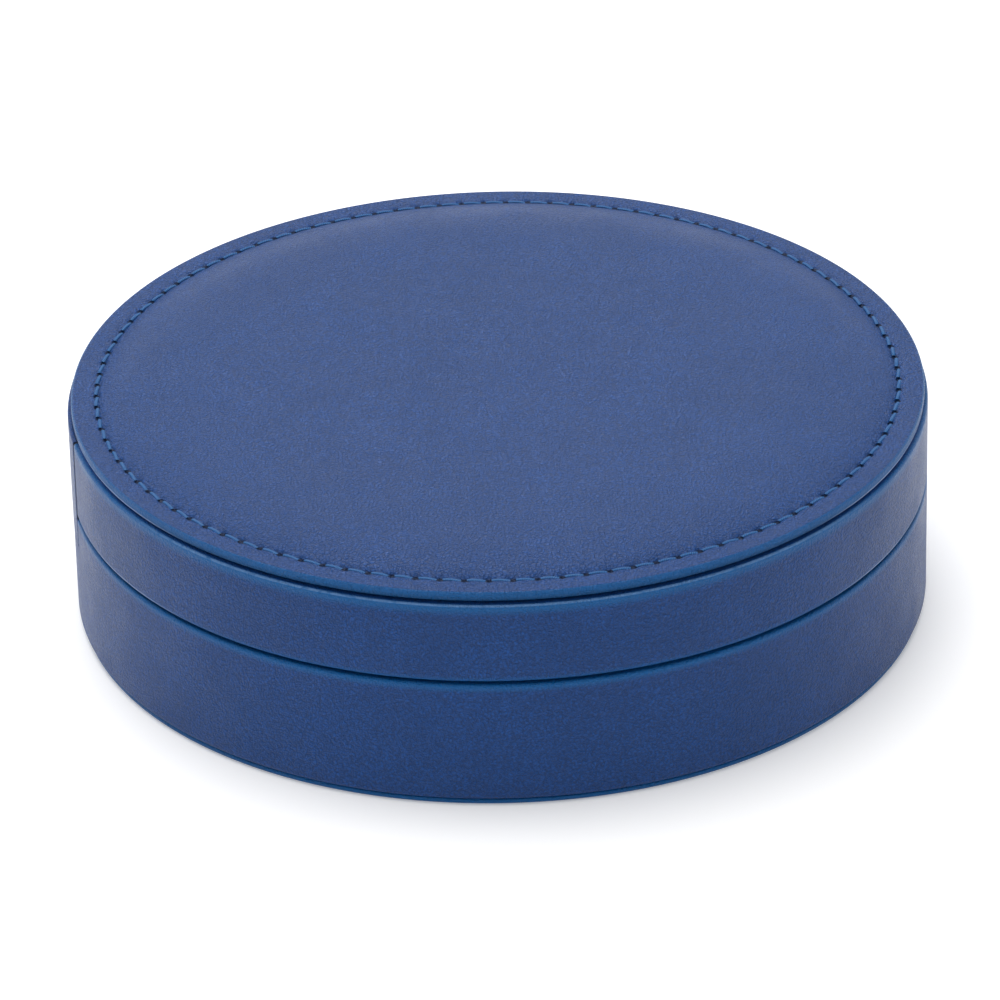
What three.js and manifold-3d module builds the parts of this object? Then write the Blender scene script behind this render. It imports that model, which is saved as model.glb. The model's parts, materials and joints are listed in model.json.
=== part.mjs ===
// A round leather jewellery case: a drum-shaped base and a padded lid joined by a leather
// hinge strip. Millimetres, +Z up. The origin is the centre of the underside, the hinge is
// at +Y and the front is at -Y.

import * as THREE from 'three';
import * as BufferGeometryUtils from 'three/addons/utils/BufferGeometryUtils.js';
import Module from 'manifold-3d';

// ---- Driving dimensions ---------------------------------------------------------------

const caseRadius = 75;           // outside of the leather on the wall
const baseHeight = 23.45;        // underside to the top of the base's rim
const lidWallHeight = 15.25;     // lid's rim to the top of its side leather
const seamGap = 0.3;             // open line between the two rims
const roundSegments = 60;        // facets round every turned piece

const leather = 0.8;             // thickness of the covering leather
const glueLine = 0.15;           // space left between glued layers
const edgeRoll = 0.7;            // rounding where leather turns over an edge
const turnInBase = 8.3;          // leather turned down inside the base's rim
const turnInLid = 7.2;           // leather turned up inside the lid's rim
const turnUnder = 9;             // leather turned under the base

const wallCore = 2.9;            // stiff wall inside the leather
const boardThickness = 2;        // base board and lid top board
const bottomCover = 0.9;         // leather disc that the case stands on
const bottomCoverInset = 0.6;    // its edge, in from the wall

const velvet = 0.6;              // lining fabric
const neckBoardThickness = 1.5;
const neckRise = 3.05;           // neck above the base's rim
const neckClearance = 0.4;       // between the neck and the lid that drops over it
const floorFoamThickness = 2;

const dividerThickness = 2.4;
const dividerHeight = 14;
const dividerEdge = 0.7;         // rounding of a divider's top
const laneHalfWidth = 27;        // middle of the case to the middle of a long divider
const frontDividerY = -22;
const crossDividerY = 0;
const layGap = 0.4;              // between loose linings and what stands beside them

const rollCount = 6;
const rollGap = 0.6;             // slit between two ring rolls
const rollHeight = 14;

const magnetLength = 10;
const magnetThickness = 1.8;
const magnetHeight = 5;
const magnetAngle = 16;          // degrees each side of the front
const pocketGap = 0.3;

const panelInset = 1;            // panel's edge, in from the wall
const panelBacking = 0.5;
const panelLeather = 0.7;
const stitchInset = 4.5;         // panel's edge to the stitch line
const stitchValley = 0.15;       // depth of the crease under the stitches
const threadWidth = 0.5;
const threadHeight = 0.35;
const padRise = 2.7;             // crown of the padding above the panel's margin

const mirrorRadius = 56;
const mirrorThickness = 2;
const mirrorLip = 2;             // frame over the mirror's edge
const mirrorLipThickness = 0.75;
const mirrorFrameDepth = 2.9;

const hingeWidth = 25.6;         // leather strip, measured round the wall
const hingeInBase = 5.8;         // strip below the fold
const hingeFoldGap = 0.75;       // height left to the fold between the strip's two halves
const cutGap = 0.3;              // round the strip where it is let into the leather

// ---- Radii and heights worked out from them -------------------------------------------

const coreOuter = caseRadius - leather - glueLine;
const coreInner = coreOuter - wallCore;
const flapOuter = coreInner - glueLine;
const flapInner = flapOuter - leather;
const liningInner = flapOuter - velvet;
const boardRadius = coreInner - glueLine;

const neckOuter = flapInner - neckClearance;
const neckBoardOuter = neckOuter - velvet - glueLine;
const neckBoardInner = neckBoardOuter - neckBoardThickness;
const neckInner = neckBoardInner - glueLine - velvet;
const floorRadius = neckBoardInner - glueLine - 0.1;

const turnUnderZ = bottomCover + glueLine;
const baseBoardZ = turnUnderZ + leather + glueLine;
const floorFoamZ = baseBoardZ + boardThickness + glueLine;
const floorVelvetZ = floorFoamZ + floorFoamThickness + glueLine;
const floorTop = floorVelvetZ + velvet;
const standZ = floorTop + glueLine;
const baseCoreTop = baseHeight - leather - glueLine;
const neckTop = baseHeight + neckRise;
const neckBoardTop = neckTop - velvet - glueLine;

const lidRim = baseHeight + seamGap;
const lidWallTop = lidRim + lidWallHeight;
const lidCoreBottom = lidRim + leather + glueLine;
const lidCoreTop = lidWallTop - leather - glueLine;
const panelRadius = caseRadius - panelInset;
const backingZ = lidWallTop + glueLine;
const backingTop = backingZ + panelBacking;
const leatherUnderside = backingTop + glueLine;
const marginTop = leatherUnderside + panelLeather;
const stitchRadius = panelRadius - stitchInset;
const ceilingTop = lidWallTop - boardThickness - glueLine;
const ceilingZ = ceilingTop - velvet;
const mirrorTop = ceilingZ - glueLine;
const frameRadius = liningInner - 0.2;

// ---- Materials ------------------------------------------------------------------------

function finish(color, roughness, metalness = 0) {
  return new THREE.MeshStandardMaterial({ color, roughness, metalness });
}

const blueLeather = finish(0x2a4580, 0.5);
const blueThread = finish(0x2878b8, 0.6);
const navyVelvet = finish(0x1d2c52, 0.95);
const greyBoard = finish(0x8f8a80, 0.9);
const whiteFoam = finish(0xe4e0d6, 0.95);
const steel = finish(0xa8abb0, 0.35, 1);
const silvering = finish(0xd9dde0, 0.05, 1);

// ---- Shared geometry helpers ----------------------------------------------------------

const wasm = await Module();
wasm.setup();

// A closed [radius, height] outline turned round +Z. Outlines run up the outside.
function turned(outline) {
  const points = outline.map(([radius, height]) => new THREE.Vector2(radius, height));
  const onAxis = outline[0][0] === 0;
  if (!onAxis) points.push(points[0].clone());
  return new THREE.LatheGeometry(points, roundSegments).rotateX(Math.PI / 2);
}

function disc(radius, bottom, top) {
  return turned([[0, bottom], [radius, bottom], [radius, top], [0, top]]);
}

function ring(inner, outer, bottom, top) {
  return turned([[inner, bottom], [outer, bottom], [outer, top], [inner, top]]);
}

// A quarter round from one direction to another, as outline points.
function cornerRound(radius, height, roll, fromDegrees, toDegrees, steps = 2) {
  return Array.from({ length: steps + 1 }, (_, step) => {
    const angle = THREE.MathUtils.degToRad(fromDegrees + (toDegrees - fromDegrees) * step / steps);
    return [radius + roll * Math.cos(angle), height + roll * Math.sin(angle)];
  });
}

function toSolid(geometry) {
  const bare = geometry.clone();
  bare.deleteAttribute('normal');
  bare.deleteAttribute('uv');
  const merged = BufferGeometryUtils.mergeVertices(bare, 1e-4);
  const vertProperties = new Float32Array(merged.attributes.position.array);
  const triVerts = new Uint32Array(merged.index.array);
  return new wasm.Manifold(new wasm.Mesh({ numProp: 3, vertProperties, triVerts }));
}

function cut(geometry, cutters) {
  let body = toSolid(geometry);
  for (const cutter of cutters) body = body.subtract(toSolid(cutter));
  const mesh = body.getMesh();
  const result = new THREE.BufferGeometry();
  result.setAttribute('position', new THREE.BufferAttribute(mesh.vertProperties, 3));
  result.setIndex(new THREE.BufferAttribute(mesh.triVerts, 1));
  result.computeVertexNormals();
  return result;
}

// A curved plate centred on +Y: an annular sector between two radii and two heights.
function arcPlate(inner, outer, halfAngle, bottom, top) {
  const middle = Math.PI / 2;
  const shape = new THREE.Shape();
  shape.absarc(0, 0, outer, middle - halfAngle, middle + halfAngle, false);
  shape.absarc(0, 0, inner, middle + halfAngle, middle - halfAngle, true);
  shape.closePath();
  const options = { depth: top - bottom, bevelEnabled: false, curveSegments: 8 };
  return new THREE.ExtrudeGeometry(shape, options).translate(0, 0, bottom);
}

// An outline in Y and Z pushed along X, centred on x = 0.
function alongX(shape, length, curveSegments = 6) {
  const options = { depth: length, bevelEnabled: false, curveSegments };
  const geometry = new THREE.ExtrudeGeometry(shape, options).translate(0, 0, -length / 2);
  return geometry.rotateX(Math.PI / 2).rotateZ(Math.PI / 2);
}

const caseModel = new THREE.Group();
const basePieces = new THREE.Group();
const lidPieces = new THREE.Group();
caseModel.add(basePieces, lidPieces);

function addPiece(group, name, geometry, material) {
  const piece = new THREE.Mesh(geometry, material);
  piece.name = name;
  group.add(piece);
  return piece;
}

// ---- Hinge strip ----------------------------------------------------------------------

const stripInner = coreOuter + glueLine;
const stripHalfAngle = hingeWidth / 2 / caseRadius;
const notchHalfAngle = stripHalfAngle + cutGap / caseRadius;
const foldZ = baseHeight + seamGap / 2;
const stripBottom = foldZ - hingeInBase;
const stripTop = lidWallTop - 0.1;
const beyondWall = caseRadius + 2;

// The leather is cut away outside the core, just short of the strip's inner face.
function hingeNotch(bottom, top) {
  return arcPlate(coreOuter + 0.05, beyondWall, notchHalfAngle, bottom, top);
}

function makeHingeStrip() {
  const halfFold = hingeFoldGap / 2;
  const lower = arcPlate(stripInner, caseRadius, stripHalfAngle, stripBottom, foldZ - halfFold);
  const upper = arcPlate(stripInner, caseRadius, stripHalfAngle, foldZ + halfFold, stripTop);
  addPiece(basePieces, 'hinge_strip_lower', lower, blueLeather);
  addPiece(lidPieces, 'hinge_strip_upper', upper, blueLeather);
}

// ---- Magnets and their pockets --------------------------------------------------------

const magnetRadius = coreInner + 0.1 + magnetThickness / 2;
const magnetTurns = { left: -magnetAngle, right: magnetAngle };

function besideFront(geometry, degrees) {
  return geometry.rotateZ(THREE.MathUtils.degToRad(degrees));
}

// Each pocket opens inwards and through the rim, so its cutter runs past both faces.
function magnetPocket(degrees, bottom, top) {
  const width = magnetLength + 2 * pocketGap;
  const outer = magnetRadius + magnetThickness / 2 + pocketGap;
  const inner = coreInner - 2;
  const box = new THREE.BoxGeometry(width, outer - inner, top - bottom);
  box.translate(0, -(outer + inner) / 2, (top + bottom) / 2);
  return besideFront(box, degrees);
}

function magnet(degrees, bottom) {
  const block = new THREE.BoxGeometry(magnetLength, magnetThickness, magnetHeight);
  block.translate(0, -magnetRadius, bottom + magnetHeight / 2);
  return besideFront(block, degrees);
}

// ---- Base -----------------------------------------------------------------------------

function makeBaseShell() {
  addPiece(basePieces, 'base_bottom_cover',
    disc(caseRadius - bottomCoverInset, 0, bottomCover), blueLeather);
  addPiece(basePieces, 'base_board',
    disc(boardRadius, baseBoardZ, baseBoardZ + boardThickness), greyBoard);

  const magnetBottom = baseCoreTop - 0.1 - magnetHeight;
  const pockets = Object.values(magnetTurns).map((degrees) =>
    magnetPocket(degrees, magnetBottom - pocketGap, baseCoreTop + 1));
  addPiece(basePieces, 'base_wall_core',
    cut(ring(coreInner, coreOuter, baseBoardZ, baseCoreTop), pockets), greyBoard);
  for (const [side, degrees] of Object.entries(magnetTurns)) {
    addPiece(basePieces, `base_magnet_${side}`, magnet(degrees, magnetBottom), steel);
  }

  const rollCentre = baseHeight - edgeRoll;
  const inside = coreOuter + glueLine;
  const skin = turned([
    [caseRadius - turnUnder, turnUnderZ],
    ...cornerRound(caseRadius - edgeRoll, turnUnderZ + edgeRoll, edgeRoll, -90, 0),
    ...cornerRound(caseRadius - edgeRoll, rollCentre, edgeRoll, 0, 90),
    ...cornerRound(flapInner + edgeRoll, rollCentre, edgeRoll, 90, 180),
    [flapInner, baseHeight - turnInBase],
    [flapOuter, baseHeight - turnInBase],
    [flapOuter, baseHeight - leather],
    [inside, baseHeight - leather],
    [inside, turnUnderZ + leather],
    [caseRadius - turnUnder, turnUnderZ + leather],
  ]);
  addPiece(basePieces, 'base_side_leather',
    cut(skin, [hingeNotch(stripBottom - cutGap, baseHeight + 1)]), blueLeather);
}

function makeNeck() {
  addPiece(basePieces, 'neck_board',
    ring(neckBoardInner, neckBoardOuter, floorFoamZ, neckBoardTop), greyBoard);
  const outerLegEnd = baseHeight - turnInBase + 0.5;
  addPiece(basePieces, 'neck_velvet', turned([
    [neckOuter - velvet, outerLegEnd],
    [neckOuter, outerLegEnd],
    ...cornerRound(neckOuter - edgeRoll, neckTop - edgeRoll, edgeRoll, 0, 90),
    ...cornerRound(neckInner + edgeRoll, neckTop - edgeRoll, edgeRoll, 90, 180),
    [neckInner, standZ],
    [neckInner + velvet, standZ],
    [neckInner + velvet, neckTop - velvet],
    [neckOuter - velvet, neckTop - velvet],
  ]), navyVelvet);
}

function makeFloor() {
  addPiece(basePieces, 'floor_foam',
    disc(floorRadius, floorFoamZ, floorFoamZ + floorFoamThickness), whiteFoam);
  addPiece(basePieces, 'floor_velvet', disc(floorRadius, floorVelvetZ, floorTop), navyVelvet);
}

// Where the lining stands, measured along one axis from a line that lies `across` it.
function reachToLining(across) {
  return Math.sqrt((neckInner - layGap) ** 2 - across ** 2);
}

function dividerShape() {
  const half = dividerThickness / 2;
  const shape = new THREE.Shape();
  shape.moveTo(-half, 0);
  shape.lineTo(half, 0);
  shape.lineTo(half, dividerHeight - dividerEdge);
  shape.absarc(half - dividerEdge, dividerHeight - dividerEdge, dividerEdge, 0, Math.PI / 2, false);
  shape.absarc(-half + dividerEdge, dividerHeight - dividerEdge, dividerEdge, Math.PI / 2, Math.PI, false);
  shape.closePath();
  return shape;
}

function divider(length) {
  return alongX(dividerShape(), length, 2);
}

function makeDividers() {
  const half = dividerThickness / 2;
  const longLength = 2 * reachToLining(laneHalfWidth + half);
  for (const [side, sign] of [['left', -1], ['right', 1]]) {
    const long = divider(longLength).rotateZ(Math.PI / 2);
    addPiece(basePieces, `divider_${side}`, long, navyVelvet)
      .position.set(sign * laneHalfWidth, 0, standZ);

    const inner = laneHalfWidth + half + layGap;
    const outer = reachToLining(Math.abs(crossDividerY) + half);
    addPiece(basePieces, `divider_cross_${side}`, divider(outer - inner), navyVelvet)
      .position.set(sign * (outer + inner) / 2, crossDividerY, standZ);
  }
  addPiece(basePieces, 'divider_front', divider(2 * (laneHalfWidth - half - layGap)), navyVelvet)
    .position.set(0, frontDividerY, standZ);
}

// Foam rolls wrapped in velvet, side by side behind the front divider.
function makeRingRolls() {
  const half = dividerThickness / 2;
  const length = 2 * (laneHalfWidth - half - layGap);
  const start = frontDividerY + half + layGap;
  const end = reachToLining(length / 2);
  const pitch = (end - start + rollGap) / rollCount;
  const radius = (pitch - rollGap) / 2;
  const shape = new THREE.Shape();
  shape.moveTo(-radius, 0);
  shape.lineTo(radius, 0);
  shape.absarc(0, rollHeight - radius, radius, 0, Math.PI, false);
  shape.closePath();
  for (let index = 0; index < rollCount; index += 1) {
    const centre = start + radius + index * pitch;
    addPiece(basePieces, `ring_roll_${index + 1}`, alongX(shape, length), navyVelvet)
      .position.set(0, centre, standZ);
  }
}

// ---- Lid ------------------------------------------------------------------------------

function makeLidShell() {
  const magnetBottom = lidCoreBottom + 0.1;
  const pockets = Object.values(magnetTurns).map((degrees) =>
    magnetPocket(degrees, lidCoreBottom - 1, magnetBottom + magnetHeight + pocketGap));
  addPiece(lidPieces, 'lid_wall_core',
    cut(ring(coreInner, coreOuter, lidCoreBottom, lidCoreTop), pockets), greyBoard);
  for (const [side, degrees] of Object.entries(magnetTurns)) {
    addPiece(lidPieces, `lid_magnet_${side}`, magnet(degrees, magnetBottom), steel);
  }

  const inside = coreOuter + glueLine;
  const skin = turned([
    [flapInner + edgeRoll, lidRim],
    ...cornerRound(caseRadius - edgeRoll, lidRim + edgeRoll, edgeRoll, -90, 0),
    ...cornerRound(caseRadius - edgeRoll, lidWallTop - edgeRoll, edgeRoll, 0, 90),
    [coreInner, lidWallTop],
    [coreInner, lidWallTop - leather],
    [inside, lidWallTop - leather],
    [inside, lidRim + leather],
    [flapOuter, lidRim + leather],
    [flapOuter, lidRim + turnInLid],
    [flapInner, lidRim + turnInLid],
    ...cornerRound(flapInner + edgeRoll, lidRim + edgeRoll, edgeRoll, 180, 225, 1),
  ]);
  addPiece(lidPieces, 'lid_side_leather',
    cut(skin, [hingeNotch(lidRim - 1, lidWallTop + 1)]), blueLeather);
  addPiece(lidPieces, 'lid_top_board',
    disc(boardRadius, lidWallTop - boardThickness, lidWallTop), greyBoard);
}

// Height of the leather above the panel's margin, from the crown out to the stitches.
function padHeight(radius) {
  const share = Math.min(radius / (stitchRadius - threadWidth), 1);
  return padRise * Math.sqrt(1 - share ** 6) * (1 - 0.12 * share ** 2);
}

const padRadii = [0, 0.3, 0.55, 0.75, 0.88, 0.955].map((share) => share * stitchRadius);

function makePaddedPanel() {
  addPiece(lidPieces, 'lid_panel_backing',
    disc(panelRadius - panelLeather - 0.2, backingZ, backingTop), greyBoard);

  const foamEdge = stitchRadius - 2.5;
  const foamTop = padRadii.map((radius) =>
    [Math.min(radius, foamEdge), leatherUnderside - glueLine + padHeight(radius)]);
  addPiece(lidPieces, 'lid_panel_foam', turned([
    [0, leatherUnderside],
    [foamEdge, leatherUnderside],
    [foamEdge, leatherUnderside + 0.4],
    ...foamTop.reverse(),
  ]), whiteFoam);

  const roll = marginTop - backingZ - 0.3;
  const inner = panelRadius - panelLeather;
  const outside = padRadii.map((radius) => [radius, marginTop + padHeight(radius)]);
  const underside = padRadii.map((radius) => [radius, leatherUnderside + padHeight(radius)]);
  addPiece(lidPieces, 'lid_top_leather', turned([
    ...underside,
    [stitchRadius - 1, leatherUnderside],
    [inner, leatherUnderside],
    [inner, backingZ],
    [panelRadius, backingZ],
    ...cornerRound(panelRadius - roll, marginTop - roll, roll, 0, 90, 3),
    [stitchRadius + 1, marginTop],
    [stitchRadius, marginTop - stitchValley],
    [stitchRadius - 0.6, marginTop],
    ...outside.reverse(),
  ]), blueLeather);

  const threadZ = marginTop + 0.05;
  addPiece(lidPieces, 'lid_stitch_thread', ring(stitchRadius - threadWidth / 2,
    stitchRadius + threadWidth / 2, threadZ, threadZ + threadHeight), blueThread);
}

function makeLidInside() {
  addPiece(lidPieces, 'lid_wall_lining',
    ring(liningInner, flapOuter, lidRim + turnInLid + glueLine, ceilingTop), navyVelvet);
  addPiece(lidPieces, 'lid_ceiling_velvet', disc(frameRadius, ceilingZ, ceilingTop), navyVelvet);
  addPiece(lidPieces, 'mirror_glass',
    disc(mirrorRadius, mirrorTop - mirrorThickness, mirrorTop), silvering);

  const frameBottom = mirrorTop - mirrorFrameDepth;
  const lipTop = frameBottom + mirrorLipThickness;
  const seat = mirrorRadius + cutGap;
  addPiece(lidPieces, 'mirror_frame', turned([
    [mirrorRadius - mirrorLip, frameBottom],
    [frameRadius, frameBottom],
    [frameRadius, mirrorTop],
    [seat, mirrorTop],
    [seat, lipTop],
    [mirrorRadius - mirrorLip, lipTop],
  ]), navyVelvet);
}

makeBaseShell();
makeNeck();
makeFloor();
makeDividers();
makeRingRolls();
makeLidShell();
makePaddedPanel();
makeLidInside();
makeHingeStrip();

export default caseModel;
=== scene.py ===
"""Round leather jewellery case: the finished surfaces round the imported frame, laid out as an add-on."""

import json
import math

import bpy
from mathutils import Matrix, Vector


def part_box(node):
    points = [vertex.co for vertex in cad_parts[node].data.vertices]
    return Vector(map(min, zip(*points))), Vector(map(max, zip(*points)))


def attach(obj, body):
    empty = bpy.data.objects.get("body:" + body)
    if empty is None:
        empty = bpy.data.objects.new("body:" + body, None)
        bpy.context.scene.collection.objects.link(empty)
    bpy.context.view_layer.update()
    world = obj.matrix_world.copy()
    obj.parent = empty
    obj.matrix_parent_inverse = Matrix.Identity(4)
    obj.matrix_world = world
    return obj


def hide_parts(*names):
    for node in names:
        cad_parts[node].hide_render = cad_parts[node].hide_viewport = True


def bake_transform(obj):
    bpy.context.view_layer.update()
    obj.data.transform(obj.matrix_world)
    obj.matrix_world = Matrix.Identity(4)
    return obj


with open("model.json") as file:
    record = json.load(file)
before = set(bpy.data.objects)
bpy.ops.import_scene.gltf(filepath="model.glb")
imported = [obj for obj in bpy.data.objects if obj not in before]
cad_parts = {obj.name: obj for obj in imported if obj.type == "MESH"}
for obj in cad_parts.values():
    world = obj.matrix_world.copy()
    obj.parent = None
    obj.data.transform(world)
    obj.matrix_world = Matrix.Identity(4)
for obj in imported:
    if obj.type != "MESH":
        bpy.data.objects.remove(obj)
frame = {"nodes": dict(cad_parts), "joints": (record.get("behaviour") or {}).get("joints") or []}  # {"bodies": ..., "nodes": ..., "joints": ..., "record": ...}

bl_info = {
    "name": "Round leather jewellery case",
    "version": (1, 0, 0),
    "blender": (4, 5, 0),
    "location": "3D View > Sidebar > Case",
    "description": "Builds the leather, stitching, lining, mirror and stage of a round jewellery case",
    "category": "Add Mesh",
}

MM = 0.001
FULL_TURN = 2 * math.pi
WELD = 0.0001 * MM  # points closer than this become one
CREASE_DEGREES = 50  # edges sharper than this stay crisp


# ---- Places taken from the frame --------------------------------------------------------------

def outer_radius(node):
    """How far a turned node reaches from the case's axis."""
    low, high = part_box(node)
    return (high.x - low.x) / 2


def bottom_of(node):
    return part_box(node)[0].z


def top_of(node):
    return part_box(node)[1].z


WALL = outer_radius("base_side_leather")
BASE_BOTTOM = bottom_of("base_side_leather")
BASE_RIM = top_of("base_side_leather")
LID_RIM = bottom_of("lid_side_leather")
LID_WALL_TOP = top_of("lid_side_leather")
PANEL = outer_radius("lid_top_leather") + 0.4 * MM  # the stuffed edge bulges past the plain disc
PANEL_BOTTOM = bottom_of("lid_top_leather")
CROWN = top_of("lid_top_leather")
CORE = outer_radius("lid_wall_core")
BACKING_TOP = top_of("lid_panel_backing")
STITCH_CIRCLE = outer_radius("lid_stitch_thread") + 0.2 * MM  # just outside the plain ring of thread
LINING_OUTER = outer_radius("lid_wall_lining")

HINGE_MIDDLE = math.pi / 2  # the hinge's turn about the case's axis
STRIP_HALF = math.asin(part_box("hinge_strip_upper")[1].x / WALL)  # half the turn that the strip takes up
STRIP_TOP = top_of("hinge_strip_upper")
STRIP_BOTTOM = bottom_of("hinge_strip_lower")
FOLD = next(joint for joint in frame["joints"] if joint["name"] == "lid_hinge")["pos_m"][2]


# ---- Settings ---------------------------------------------------------------------------------

def length(name, description, millimetres):
    """A length setting whose default is given in millimetres."""
    return bpy.props.FloatProperty(
        name=name, description=description, default=millimetres * MM,
        min=0.0, precision=5, subtype="DISTANCE", unit="LENGTH")


def colour(name, description, red, green, blue):
    """A colour setting, in linear light."""
    return bpy.props.FloatVectorProperty(
        name=name, description=description, default=(red, green, blue),
        size=3, min=0.0, max=1.0, subtype="COLOR")


class CaseSizes(bpy.types.PropertyGroup):
    """Thicknesses, roundings and stitching of the case"""
    leather: length("Leather", "Thickness of the covering leather", 0.8)
    edge_roll: length("Edge roll", "Rounding where the wall leather turns over a rim", 0.6)
    seam_ease: length("Seam ease", "How far the lid's leather stays back from the seam", 0.3)
    panel_groove: length("Panel groove", "Height of the groove under the padded panel", 0.4)
    panel_bulge: length("Panel bulge", "How far the stuffed margin stands above its backing", 0.4)
    panel_edge: length("Panel edge", "Rounding of the padded panel's outer edge", 0.5)
    stitch_count: bpy.props.IntProperty(
        name="Stitches", description="Stitches round the lid", default=108, min=12)
    stitch_span: bpy.props.FloatProperty(
        name="Stitch span", description="Share of a stitch's pitch that its thread shows over",
        default=0.7, min=0.2, max=0.95, subtype="FACTOR")
    thread: length("Thread", "Diameter of the sewing thread", 0.62)
    stitch_crease: length("Stitch crease", "Depth of the crease that the stitches pull in", 0.22)
    needle_hole: length("Needle hole", "Depth of each needle hole", 0.5)
    strip_proud: length("Strip height", "How far the hinge strip stands out of the wall", 0.08)
    velvet_roll: length("Velvet roll", "Rounding of the velvet-covered edges", 0.9)


class CaseColours(bpy.types.PropertyGroup):
    """Colours of the case and of the floor it stands on"""
    leather: colour("Leather", "Main colour of the leather", 0.006, 0.064, 0.262)
    # Partly painted light: besides the foot's cut edge, this tone colours the bands along the rolled rims,
    # the crest and the panel's edge, a brighter, more saturated blue that stands in for how those rolls catch
    # light.
    edge: colour("Rolled edge", "Leather stretched over the rolled edges", 0.001, 0.092, 0.290)
    thread: colour("Thread", "Sewing thread", 0.005, 0.100, 0.305)
    velvet: colour("Velvet", "Lining", 0.020, 0.036, 0.105)
    board: colour("Board", "Pressed grey board", 0.270, 0.250, 0.220)
    foam: colour("Foam", "Padding", 0.780, 0.750, 0.680)
    # Painted highlight: a pale line along the crest of the lid's wall, on the flanks only.
    crest_highlight: colour("Worn edge", "Leather rubbed pale along a rolled edge", 0.090, 0.210, 0.440)
    # Painted reflection: a pale glint along the lower corner of the panel and of the lid's rim, round the
    # hinge side and the front only.
    painted_glint: colour("Burnish", "Polished lower corner of the panel and the lid", 0.500, 0.600, 0.900)
    floor: colour("Floor", "Studio floor", 0.930, 0.930, 0.930)


def sizes():
    return bpy.context.scene.case_sizes


def colours():
    return bpy.context.scene.case_colours


# ---- Modelling helpers ------------------------------------------------------------------------

def clear_selection():
    """Goes back to object mode and deselects everything."""
    if bpy.context.object and bpy.context.object.mode != "OBJECT":
        bpy.ops.object.mode_set(mode="OBJECT")
    bpy.ops.object.select_all(action="DESELECT")


def edit(piece):
    """Opens one piece in edit mode."""
    clear_selection()
    piece.select_set(True)
    bpy.context.view_layer.objects.active = piece
    bpy.ops.object.mode_set(mode="EDIT")


def select_where(piece, test):
    """Selects the vertices where test(point) holds, and stays in edit mode."""
    bpy.ops.mesh.select_mode(type="VERT")
    bpy.ops.mesh.select_all(action="DESELECT")
    bpy.ops.object.mode_set(mode="OBJECT")
    for vertex in piece.data.vertices:
        vertex.select = test(vertex.co)
    bpy.ops.object.mode_set(mode="EDIT")


def close_up(smooth_degrees):
    """Welds the open piece, points its faces outwards, leaves edit mode and shades it."""
    bpy.ops.mesh.select_all(action="SELECT")
    bpy.ops.mesh.remove_doubles(threshold=WELD)
    bpy.ops.mesh.normals_make_consistent(inside=False)
    bpy.ops.object.mode_set(mode="OBJECT")
    bpy.ops.object.shade_smooth_by_angle(angle=math.radians(smooth_degrees))


def draw_outline(name, outline, turn=0.0):
    """A chain of edges through [radius, height] points, standing at one turn about the case's axis."""
    clear_selection()
    bpy.ops.mesh.primitive_circle_add(vertices=3, radius=MM)
    piece = bpy.context.object
    piece.name = piece.data.name = name
    edit(piece)
    bpy.ops.mesh.select_all(action="SELECT")
    bpy.ops.mesh.merge(type="CENTER")
    across = Vector((math.cos(turn), math.sin(turn), 0))
    points = [across * radius + Vector((0, 0, height)) for radius, height in outline]
    bpy.ops.transform.translate(value=points[0])
    for point, following in zip(points, points[1:]):
        bpy.ops.mesh.extrude_region_move(TRANSFORM_OT_translate={"value": following - point})
    return piece


def turned(name, outline, around=288, smooth_degrees=CREASE_DEGREES):
    """An outline spun all the way round the case's axis. It ends on the axis, or where it started."""
    piece = draw_outline(name, outline)
    bpy.ops.mesh.select_all(action="SELECT")
    bpy.ops.mesh.remove_doubles(threshold=WELD)
    bpy.ops.mesh.spin(steps=around, angle=FULL_TURN, center=(0, 0, 0), axis=(0, 0, 1),
                      use_auto_merge=True)
    close_up(smooth_degrees)
    return piece


def swept_plate(name, outline, middle, half_angle, steps):
    """A closed outline spun through part of a turn, with both ends filled."""
    piece = draw_outline(name, outline, middle + half_angle)
    bpy.ops.mesh.select_all(action="SELECT")
    bpy.ops.mesh.remove_doubles(threshold=WELD)
    bpy.ops.mesh.spin(steps=steps, angle=2 * half_angle, center=(0, 0, 0), axis=(0, 0, 1))
    bpy.ops.mesh.select_all(action="SELECT")
    bpy.ops.mesh.fill_holes(sides=0)
    close_up(40)
    return piece


def rounded_block(name, low, high, roll, segments):
    """A block that fills a box, rounded along its top edges."""
    clear_selection()
    bpy.ops.mesh.primitive_cube_add(size=1.0)
    piece = bpy.context.object
    piece.name = piece.data.name = name
    edit(piece)
    bpy.ops.mesh.select_all(action="SELECT")
    bpy.ops.transform.resize(value=high - low, center_override=(0, 0, 0))
    bpy.ops.transform.translate(value=(low + high) / 2)
    select_where(piece, lambda point: point.z > high.z - 0.01 * MM)
    bpy.ops.mesh.bevel(offset=roll, segments=segments, affect="EDGES")
    close_up(CREASE_DEGREES)
    return piece


def arc(radius, height, roll, from_degrees, to_degrees, steps=6):
    """Points of a rounding about one centre of an outline."""
    points = []
    for step in range(steps + 1):
        angle = math.radians(from_degrees + (to_degrees - from_degrees) * step / steps)
        points.append((radius + roll * math.cos(angle), height + roll * math.sin(angle)))
    return points


def closed(outline):
    """An outline that ends where it started."""
    return outline + outline[:1]


def levels(low, high, step):
    """Evenly spaced values from low to high, ends included."""
    count = max(1, round((high - low) / step))
    return [low + (high - low) * index / count for index in range(count + 1)]


def apply_modifier(piece, kind, **settings):
    """Adds one modifier with its settings and applies it."""
    clear_selection()
    piece.select_set(True)
    bpy.context.view_layer.objects.active = piece
    modifier = piece.modifiers.new(kind.title(), kind)
    for key, value in settings.items():
        setattr(modifier, key, value)
    bpy.ops.object.modifier_apply(modifier=modifier.name)


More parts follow.
